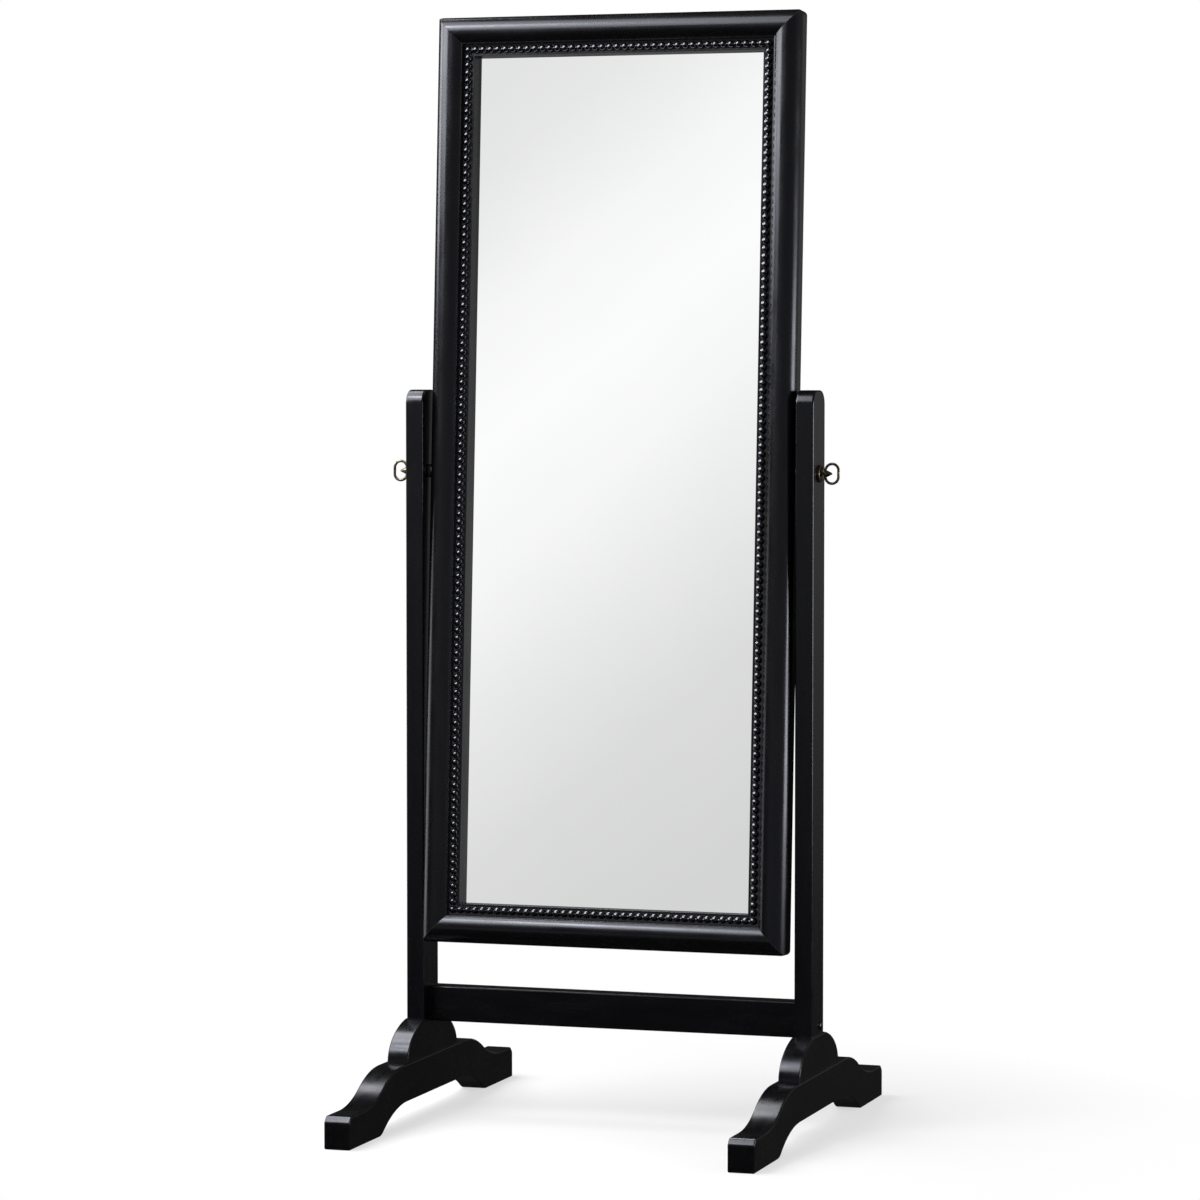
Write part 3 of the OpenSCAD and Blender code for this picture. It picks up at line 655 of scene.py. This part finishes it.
# Bead strips: hardwood beads turned in one string, set on a flat strip and glued in the moulding's
# channel. They nearly touch, with a fine neck between them, and one bead sits on each mitre.
bead_d, bead_pitch, neck_d = 0.0094, 0.00985, 0.003
bead_off_wall, bead_lift = 0.0003, 0.0002
bead_u, bead_v = channel_end - bead_d / 2 - bead_off_wall, channel_h + bead_d / 2 + bead_lift
bead_segments, bead_rings, neck_sides = 14, 8, 8
least_bead, most_bead, bead_seed = 0.975, 1.0, 7
face_gap = 0.0001


def bead_tree():
    """Geometry nodes: sets a row of turned beads and their neck on the strip that comes in."""
    tree = bpy.data.node_groups.new("Row of turned beads", "GeometryNodeTree")
    sockets = tree.interface
    sockets.new_socket("Strip", in_out="INPUT", socket_type="NodeSocketGeometry")
    for label, kind, value in (
        ("Row length", "NodeSocketFloat", 0.4), ("Beads", "NodeSocketInt", 40),
        ("Inset", "NodeSocketFloat", bead_u), ("Height", "NodeSocketFloat", bead_v),
        ("Bead diameter", "NodeSocketFloat", bead_d), ("Neck diameter", "NodeSocketFloat", neck_d),
        ("Seed", "NodeSocketInt", bead_seed)
    ):
        sockets.new_socket(label, in_out="INPUT", socket_type=kind).default_value = value
    sockets.new_socket("Lacquer", in_out="INPUT", socket_type="NodeSocketMaterial")
    sockets.new_socket("Strip", in_out="OUTPUT", socket_type="NodeSocketGeometry")
    add, link = tree.nodes.new, tree.links.new
    given, result = add("NodeGroupInput"), add("NodeGroupOutput")

    ends = []
    for share in (-0.5, 0.5):
        point = add("ShaderNodeCombineXYZ")
        link(maths(tree, "MULTIPLY", given.outputs["Row length"], share), point.inputs["X"])
        link(given.outputs["Inset"], point.inputs["Y"])
        link(given.outputs["Height"], point.inputs["Z"])
        ends.append(point.outputs["Vector"])
    row = add("GeometryNodeMeshLine")
    row.mode, row.count_mode = "END_POINTS", "TOTAL"
    link(given.outputs["Beads"], row.inputs["Count"])
    link(ends[0], row.inputs["Start Location"])
    link(ends[1], row.inputs["Offset"])
    bead = add("GeometryNodeMeshUVSphere")
    bead.inputs["Segments"].default_value = bead_segments
    bead.inputs["Rings"].default_value = bead_rings
    link(maths(tree, "DIVIDE", given.outputs["Bead diameter"], 2.0), bead.inputs["Radius"])
    on_side = add("GeometryNodeTransform")
    on_side.inputs["Rotation"].default_value = (0.0, pi / 2, 0.0)
    link(bead.outputs["Mesh"], on_side.inputs["Geometry"])
    rounded = add("GeometryNodeSetShadeSmooth")
    link(on_side.outputs["Geometry"], rounded.inputs["Geometry"])
    uneven = add("FunctionNodeRandomValue")
    uneven.data_type = "FLOAT"
    uneven.inputs[2].default_value, uneven.inputs[3].default_value = least_bead, most_bead
    link(given.outputs["Seed"], uneven.inputs["Seed"])
    placed = add("GeometryNodeInstanceOnPoints")
    link(row.outputs["Mesh"], placed.inputs["Points"])
    link(rounded.outputs["Geometry"], placed.inputs["Instance"])
    link(uneven.outputs[1], placed.inputs["Scale"])
    string = add("GeometryNodeCurvePrimitiveLine")
    link(ends[0], string.inputs["Start"])
    link(ends[1], string.inputs["End"])
    circle = add("GeometryNodeCurvePrimitiveCircle")
    circle.inputs["Resolution"].default_value = neck_sides
    link(maths(tree, "DIVIDE", given.outputs["Neck diameter"], 2.0), circle.inputs["Radius"])
    neck = add("GeometryNodeCurveToMesh")
    neck.inputs["Fill Caps"].default_value = True
    link(string.outputs["Curve"], neck.inputs["Curve"])
    link(circle.outputs["Curve"], neck.inputs["Profile Curve"])
    together = add("GeometryNodeJoinGeometry")
    for part in (placed.outputs["Instances"], neck.outputs["Mesh"], given.outputs["Strip"]):
        link(part, together.inputs["Geometry"])
    real = add("GeometryNodeRealizeInstances")
    link(together.outputs["Geometry"], real.inputs["Geometry"])
    coat = add("GeometryNodeSetMaterial")
    link(real.outputs["Geometry"], coat.inputs["Geometry"])
    link(given.outputs["Lacquer"], coat.inputs["Material"])
    link(coat.outputs["Geometry"], result.inputs["Strip"])
    return tree


beads = bead_tree()
bead_lacquer = lacquer(
    "Black lacquer on the beads", grain=(160.0, 160.0, 160.0), rough=(0.03, 0.05), ior=1.9
)
for name, turn, half, length in members:
    side, kind = name.split("_")
    near_u, far_u = channel_u + face_gap, channel_end - face_gap
    strip_half = [(length / 2 - near_u, near_u), (length / 2 - far_u, far_u)]
    strip = prism(both_ways(strip_half), channel_h, strip_top)
    carrier_mesh = bpy.data.meshes.new("strip")
    strip.to_mesh(carrier_mesh)
    strip.free()
    carrier = bpy.data.objects.new("strip", carrier_mesh)
    scene.collection.objects.link(carrier)
    # The rails' strings hold the beads on the mitres, so a stile's string stops one bead sooner.
    row = length - 2 * bead_u
    count = round(row / bead_pitch)
    pitch = row / count
    left_off = 1 if kind == "stile" else 0
    wanted = {
        "Row length": row - 2 * left_off * pitch,
        "Beads": count + 1 - 2 * left_off,
        "Lacquer": bead_lacquer
    }
    modifier = carrier.modifiers.new("beads", "NODES")
    modifier.node_group = beads
    for socket in beads.interface.items_tree:
        if socket.in_out == "INPUT" and socket.name in wanted:
            modifier[socket.identifier] = wanted[socket.name]
    string = finished(carrier)
    bpy.data.objects.remove(carrier)
    string.transform(member_place(turn, half))
    add_piece(f"beads_{side}", string, bead_lacquer, "mirror", "black_lacquer", f"bead_strip_{side}")

# Mirror glass: 3 mm silvered float glass, loose in the rebate, with a card behind it.
# It stays as the CAD has it. Its face is clean, so the reflection is sharp.
silver_deep, silver_pale = (0.955, 0.962, 0.960), (0.975, 0.980, 0.978)
silver, tree, shader = start_material("Silvered glass")
shader.inputs["Metallic"].default_value = 1.0
shader.inputs["Roughness"].default_value = 0.0
shader.inputs["IOR"].default_value = 1.52
haze = fine_noise(tree, node(tree, "ShaderNodeTexCoord"), scale=(5.0, 5.0, 5.0))
silvering = blend_colour(tree, vary(tree, haze, 0.0, 1.0), silver_deep, silver_pale)
tree.links.new(silvering, shader.inputs["Base Color"])
refinish("mirror_glass", silver)

# Card and board: grey packing card, then a sheet of brown hardboard that closes the back.
# Flat steel points, pushed into the rebate's wall, hold the board.
card = wood(
    "Grey card", pale=(0.40, 0.36, 0.29), deep=(0.33, 0.29, 0.23),
    grain=(900.0, 900.0, 900.0), rough=(0.72, 0.92)
)
hardboard = wood(
    "Brown hardboard", pale=(0.17, 0.095, 0.05), deep=(0.115, 0.062, 0.032),
    grain=(520.0, 520.0, 520.0), rough=(0.42, 0.62)
)
refinish("packing_card", card)
refinish("backing_board", hardboard)
refinish("back_points", zinc)

# Pivots: a flanged steel bush is screwed into each stile, and a fibre washer rubs on the post.
# Both stay as the CAD has them.
fibre = wood(
    "Vulcanised fibre", pale=(0.030, 0.024, 0.021), deep=(0.018, 0.014, 0.012),
    grain=(1500.0, 1500.0, 1500.0), rough=(0.47, 0.67)
)
for side in ("left", "right"):
    refinish(f"pivot_bush_{side}", zinc)
    refinish(f"friction_washer_{side}", fibre)

# Rosettes: turned brass discs with a round rim, darkened and rubbed bright on the high places.
# Each lies on the post's outer face, loose on the thumb screw.
rosette_r, rosette_t, rosette_dish, rim_flat = 0.011, 0.003, 0.0012, 0.0008
collar_r = 0.00425
hole_gap, seat_gap, seat_slope, rim_slope = 0.0003, 0.0004, 0.0005, 0.0003
dish_ease, seat_ease = 0.0004, 0.0003
hole_r, seat_r = shank_r + hole_gap, collar_r + seat_gap
rim_round = (rosette_t - rim_flat) / 2
rim_foot_r, seat_foot_r = rosette_r - 2 * rim_round, seat_r + seat_slope
rosette_seat = rosette_t - rim_round


def on_axis(s, x):
    """Places a turned piece on the tilting axis, its foot at x and its head outwards."""
    return hung @ Matrix.Translation((s * x, 0, 0)) @ Matrix.Rotation(s * pi / 2, 4, "Y")


brass = metal(
    "Darkened brass", dark=(0.050, 0.040, 0.024), bright=(0.42, 0.36, 0.25),
    rough=(0.22, 0.42), relief_depth=0.00008, patch=420.0
)
rim = arc((rosette_r - rim_round, rosette_t - rim_round), rim_round, 0, 180, 12)
dish_foot, seat_foot, seat_top = (
    (rim_foot_r - rim_slope, rosette_dish), (seat_foot_r, rosette_dish), (seat_r, rosette_seat)
)
rosette_profile = (
    [(hole_r, 0.0), (rosette_r, 0.0)] + rim
    + eased(dish_foot, (rim_foot_r, rosette_seat), seat_foot, dish_ease)
    + eased(seat_foot, (rosette_r, rosette_dish), seat_top, dish_ease)
    + eased(seat_top, seat_foot, (hole_r, rosette_seat), seat_ease)
    + [(hole_r, rosette_seat)]
)
for side, s in (("left", -1), ("right", 1)):
    disc = turned(rosette_profile, closed=True, sides=64)
    disc.transform(on_axis(s, stand_w / 2 + face_gap))
    add_piece(f"rosette_{side}_turned", disc, brass, f"{side}_rosette", "antique_brass", f"rosette_{side}")

# Thumb screws: cast brass, a threaded shank with collar and stem that flares into a cone.
# An oval ring of round wire springs from the cone's shoulder and takes a finger.
thread_l, turn_pitch, groove, thread_stop = 0.012, 0.001, 0.0003, -0.001
thread_end = post_t + side_gap + thread_l
collar_h, stem_r = 0.0018, 0.0023
ring_h, ring_w, wire_r, ring_out = 0.028, 0.020, 0.0017, 0.0165
ring_line = ring_w / 2 - wire_r
cone_r, cone_l, cone_rise, cone_lip, cone_shoulder = 0.0053, 0.0105, 0.0011, 0.0012, 0.0024
shoulder_in, tip_r = 0.0004, 0.0008
shoulder_r = cone_r - shoulder_in
collar_ease, stem_ease, cone_ease, tip_ease = 0.0006, 0.0007, 0.0008, 0.0006
collar_z0 = 2 * face_gap + rosette_seat
stem_z0 = collar_z0 + collar_h
cone_z0 = ring_out - ring_line - wire_r


def ring_tube(sides=20, steps=28):
    """The oval ring: round wire along two half circles joined by straight lengths."""
    bm = bmesh.new()
    straight = (ring_h - ring_w) / 2
    rings = []
    for t in (2 * pi * (i + 0.5) / (2 * steps) for i in range(2 * steps)):
        out = Vector((cos(t), 0, sin(t)))
        middle = Vector((straight if cos(t) >= 0 else -straight, 0, ring_out)) + ring_line * out
        rings.append([
            bm.verts.new(middle + wire_r * (cos(a) * out + sin(a) * Vector((0, 1, 0))))
            for a in (2 * pi * k / sides for k in range(sides))
        ])
    for i, ring in enumerate(rings):
        skin(bm, ring, rings[(i + 1) % len(rings)])
    bmesh.ops.recalc_face_normals(bm, faces=bm.faces)
    return bm


thread = []
z = -thread_end + shank_ease
while z < thread_stop:
    thread += [(shank_r, z), (shank_r - groove, z + turn_pitch / 2)]
    z += turn_pitch
lip, shoulder = (cone_r, cone_z0 + cone_lip), (shoulder_r, cone_z0 + cone_shoulder)
tip = (0, cone_z0 + cone_l)
spindle = (
    [(0, -thread_end), (shank_r - shank_ease, -thread_end)] + thread
    + [(shank_r, 0.0), (shank_r, collar_z0), (collar_r, collar_z0), (collar_r, stem_z0 - collar_ease)]
    + eased((collar_r, stem_z0), (collar_r, collar_z0), (stem_r, stem_z0), collar_ease)
    + eased((stem_r, stem_z0), (collar_r, stem_z0), (stem_r, cone_z0), stem_ease)
    + eased((stem_r, cone_z0), (stem_r, stem_z0), (cone_r, cone_z0 + cone_rise), cone_ease)
    + eased(lip, (stem_r, cone_z0), shoulder, cone_ease)
    + eased((tip_r, cone_z0 + cone_l), shoulder, tip, tip_ease)
    + [tip]
)
for side, s in (("left", -1), ("right", 1)):
    screw = joined(turned(spindle), ring_tube())
    screw.transform(on_axis(s, stand_w / 2))
    add_piece(
        f"thumb_screw_{side}_cast", screw, brass, f"{side}_screw", "antique_brass", f"thumb_screw_{side}"
    )

# Studio floor: pale and round. The camera and the mirror glass see it white far off, while near
# the stand its own shading shows through and keeps the shadow. Satin surfaces see a nearly dark
# floor, so that the lacquer stays black low down.
floor_r, floor_grey = 2.6, 0.72
white_from, white_to, near_share, far_share = 0.38, 0.80, 0.60, 1.0
dark_strength = 0.03


def sharp_reflection(tree, seen):
    """1 for a ray that comes off the mirror glass, and 0 for any other."""
    return maths(tree, "MULTIPLY", seen.outputs["Is Glossy Ray"], seen.outputs["Is Singular Ray"])


def mix_shaders(tree, factor, first, second):
    """Mixes two shaders by a factor."""
    mix = tree.nodes.new("ShaderNodeMixShader")
    tree.links.new(factor, mix.inputs["Fac"])
    tree.links.new(first, mix.inputs[1])
    tree.links.new(second, mix.inputs[2])
    return mix.outputs["Shader"]


floor_mesh = bpy.data.meshes.new("floor")
bm = bmesh.new()
bmesh.ops.create_circle(bm, cap_ends=True, radius=floor_r, segments=96)
bm.to_mesh(floor_mesh)
bm.free()
floor = bpy.data.objects.new("floor", floor_mesh)
scene.collection.objects.link(floor)
pale, tree, shader = start_material("Pale floor")
shader.inputs["Roughness"].default_value = 0.9
shader.inputs["Specular IOR Level"].default_value = 0.0
shader.inputs["Base Color"].default_value = (floor_grey, floor_grey, floor_grey, 1.0)
glow = node(tree, "ShaderNodeEmission", Strength=1.0)
dark = node(tree, "ShaderNodeEmission", Strength=dark_strength)
seen = tree.nodes.new("ShaderNodeLightPath")
at = node(tree, "ShaderNodeTexCoord")
distance = tree.nodes.new("ShaderNodeVectorMath")
distance.operation = "LENGTH"
tree.links.new(at.outputs["Object"], distance.inputs[0])
share = spread(tree, distance.outputs["Value"], white_from, white_to, near_share, far_share)
in_mirror = sharp_reflection(tree, seen)
in_view = maths(tree, "MAXIMUM", seen.outputs["Is Camera Ray"], in_mirror)
in_satin = maths(tree, "SUBTRACT", seen.outputs["Is Glossy Ray"], in_mirror)
whitening = maths(tree, "MULTIPLY", share, in_view)
lit = mix_shaders(tree, whitening, shader.outputs["BSDF"], glow.outputs["Emission"])
shown = mix_shaders(tree, in_satin, lit, dark.outputs["Emission"])
tree.links.new(shown, tree.nodes["Material Output"].inputs["Surface"])
floor_mesh.materials.append(pale)

# Studio sky: a plain fill for diffuse rays. Satin surfaces see a band at eye level that is
# brightest to the front and right, and fades behind, to the left, overhead and below.
fill = 0.35
ground_low, ground_top, below_share = -0.14, 0.02, 0.15
band_top, overhead, above_share = 0.06, 0.18, 0.35
bright_way = (0.9, -0.45, 0.0)
way_low, way_high, least_sky, most_sky = -0.6, 0.1, 0.05, 0.30

world = bpy.data.worlds.new("studio")
scene.world = world
world.use_nodes = True
tree = world.node_tree
seen = tree.nodes.new("ShaderNodeLightPath")
toward = node(tree, "ShaderNodeTexCoord")
parts = tree.nodes.new("ShaderNodeSeparateXYZ")
tree.links.new(toward.outputs["Generated"], parts.inputs["Vector"])
bearing = tree.nodes.new("ShaderNodeVectorMath")
bearing.operation = "DOT_PRODUCT"
bearing.inputs[1].default_value = bright_way
tree.links.new(toward.outputs["Generated"], bearing.inputs[0])
from_below = spread(tree, parts.outputs["Z"], ground_low, ground_top, below_share, 1.0)
to_overhead = spread(tree, parts.outputs["Z"], band_top, overhead, 1.0, above_share)
band = maths(tree, "MULTIPLY", from_below, to_overhead)
sideways = spread(tree, bearing.outputs["Value"], way_low, way_high, least_sky, most_sky)
plain = spread(tree, seen.outputs["Is Diffuse Ray"], 0.0, 1.0, 0.0, fill)
sky = tree.nodes["Background"]
sky.inputs["Color"].default_value = (1.0, 1.0, 1.0, 1.0)
strength = maths(tree, "MAXIMUM", maths(tree, "MULTIPLY", band, sideways), plain)
tree.links.new(strength, sky.inputs["Strength"])

# Backdrop: white to the camera. The mirror glass sees a soft fade across it instead, brightest in
# the middle, along a line that slants. Past two bounces a ray sees little of the backdrop.
slant, fade_start, fade_end = -0.9, 0.257, 0.472
fade = (
    (0.0, 0.68), (0.2, 0.73), (0.36, 0.84), (0.5, 0.95),
    (0.63, 1.0), (0.76, 0.95), (0.91, 0.82), (1.0, 0.79)
)
far_bounce, far_bounce_share = 2.0, 0.15

early = spread(tree, seen.outputs["Ray Depth"], far_bounce, far_bounce + 1.0, 1.0, far_bounce_share)
sharp = maths(tree, "MULTIPLY", sharp_reflection(tree, seen), early)
rise = maths(tree, "MULTIPLY_ADD", parts.outputs["X"], slant, parts.outputs["Z"])
ramp = tree.nodes.new("ShaderNodeValToRGB")
ramp.color_ramp.interpolation = "LINEAR"
stops = ramp.color_ramp.elements
for place, grey in fade:
    stop = stops[0] if place == 0.0 else stops[-1] if place == 1.0 else stops.new(place)
    stop.color = (grey, grey, grey, 1.0)
tree.links.new(spread(tree, rise, fade_start, fade_end, 0.0, 1.0), ramp.inputs["Fac"])
wall = node(tree, "ShaderNodeBackground")
tree.links.new(blend_colour(tree, sharp, (1.0, 1.0, 1.0), ramp.outputs["Color"]), wall.inputs["Color"])
through = maths(tree, "MAXIMUM", seen.outputs["Is Transmission Ray"], sharp)
open_view = maths(tree, "MAXIMUM", seen.outputs["Is Camera Ray"], through)
backdrop = mix_shaders(tree, open_view, sky.outputs["Background"], wall.outputs["Background"])
tree.links.new(backdrop, tree.nodes["World Output"].inputs["Surface"])

# Lamps: softboxes above and down the left side, one above the camera, and one low on the right.
# Each shines evenly over its width and height, and all face a point near the mirror's middle.
lamp_aim = (0.0, 0.0, 0.75)
for label, place, size, radiance in (
    ("softbox above, left", (-0.88, -0.72, 2.62), (1.6, 1.1), 4.0),
    ("lamp in that softbox", (-0.88, -0.98, 2.48), (0.5, 0.4), 15.0),
    ("softbox above the camera", (-0.64, -1.48, 2.22), (1.1, 0.8), 4.0),
    ("softbox high on the left", (-1.35, 0.40, 2.44), (1.3, 1.1), 6.0),
    ("softbox left, in front", (-1.56, -1.08, 1.85), (1.3, 0.8), 8.5),
    ("softbox left", (-2.00, -0.05, 1.64), (0.8, 0.8), 7.0),
    ("low panel left", (-2.15, 0.1, 0.45), (1.0, 0.9), 1.7),
    ("softbox right", (2.17, 0.20, 0.72), (1.0, 0.9), 8.0)
):
    lamp_data = bpy.data.lights.new(label, "AREA")
    lamp_data.shape = "RECTANGLE"
    lamp_data.size, lamp_data.size_y = size
    lamp_data.energy = radiance * pi * size[0] * size[1]
    lamp = bpy.data.objects.new(label, lamp_data)
    lamp.location = place
    lamp.rotation_euler = (Vector(lamp_aim) - Vector(place)).to_track_quat("-Z", "Y").to_euler()
    lamp.visible_camera = False
    scene.collection.objects.link(lamp)

# Camera: in front and to the right at chest height, far off, with a long lens. It looks a little
# down, and its pan and tilt are in degrees.
camera_pan, camera_tilt = 17.953, 2.978
camera_place = (1.7373, -5.4157, 0.9618)
camera_data = bpy.data.cameras.new("camera")
camera_data.lens = 134.77
camera_data.sensor_width = 36.0
camera = bpy.data.objects.new("camera", camera_data)
camera.location = camera_place
camera.rotation_euler = (radians(90 - camera_tilt), 0.0, radians(camera_pan))
scene.collection.objects.link(camera)
scene.camera = camera
scene.view_settings.view_transform = "Standard"
